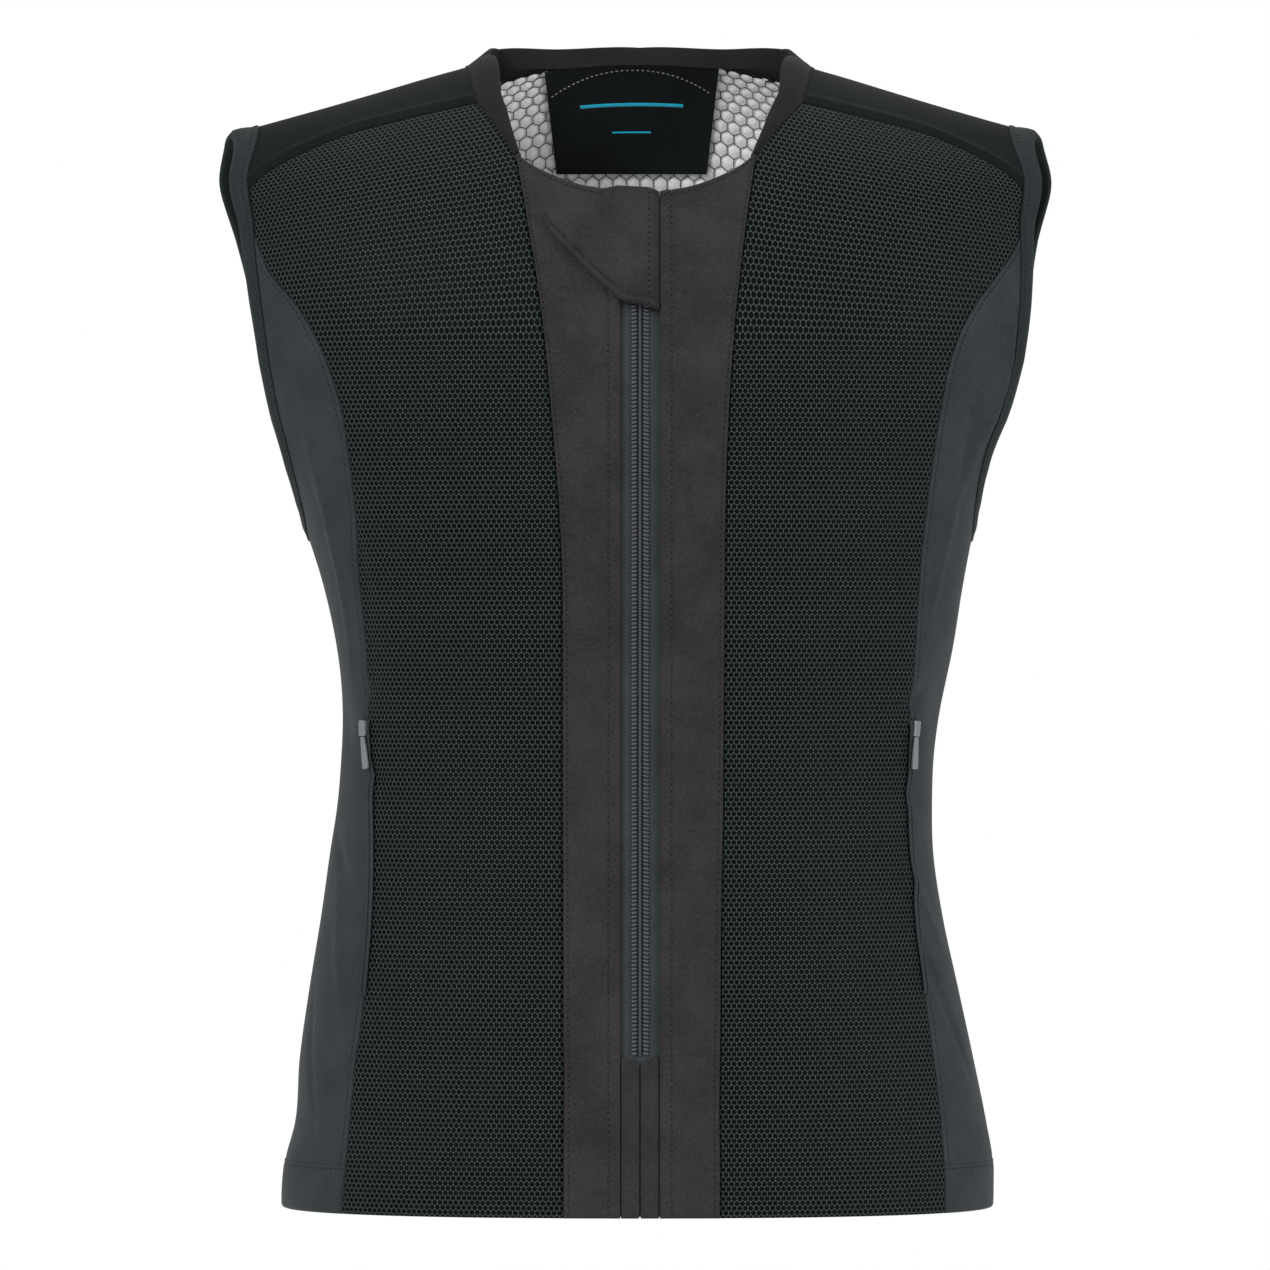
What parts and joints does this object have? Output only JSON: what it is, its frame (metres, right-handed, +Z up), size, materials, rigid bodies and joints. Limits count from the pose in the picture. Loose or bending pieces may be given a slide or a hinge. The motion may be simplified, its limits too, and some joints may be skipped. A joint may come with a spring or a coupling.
{
  "type": "motorcycle airbag vest",
  "caption": "Sleeveless zip-front airbag vest for motorcycling: air-mesh front, softshell sides and yokes, plackets beside a coil zip, open neck and armholes, lined back.",
  "frame": {"origin": "midway between the two neck points, where the vest sits on the wearer's shoulders", "axes": "+Z up, the front faces -Y, +X towards the wearer's left"},
  "size_m": [0.4385, 0.2368, 0.6229],
  "materials": {
    "air_mesh": "black knitted air mesh",
    "softshell": "smooth grey softshell",
    "charcoal": "matt charcoal softshell",
    "binding": "dark elastic binding",
    "black_cloth": "black woven facing",
    "white_lining": "white padding under black net",
    "zip_tape": "woven polyester tape",
    "coil": "nylon coil",
    "metal": "painted zinc"
  },
  "bodies": {
    "root": {"front_mesh_right": "air_mesh", "front_mesh_left": "air_mesh", "back_panel": "air_mesh", "shoulder_yoke_right": "softshell", "shoulder_yoke_left": "softshell", "side_panel_right": "softshell", "side_panel_left": "softshell", "side_hem_right": "softshell", "side_hem_left": "softshell", "placket_right": "charcoal", "placket_left": "charcoal", "zip_flap": "charcoal", "neck_band": "charcoal", "zip_end_tab_right": "charcoal", "zip_end_tab_left": "charcoal", "armhole_binding_right": "binding", "armhole_binding_left": "binding", "back_lining": "white_lining", "back_neck_facing": "black_cloth", "zip_tape_right": "zip_tape", "zip_tape_left": "zip_tape", "pocket_zip_right": "zip_tape", "pocket_zip_left": "zip_tape", "zip_coil_right": "coil", "zip_coil_left": "coil", "zip_slider": "metal", "pocket_slider_right": "metal", "pocket_slider_left": "metal", "pocket_puller_right": "metal", "pocket_puller_left": "metal"}
  },
  "joints": []
}
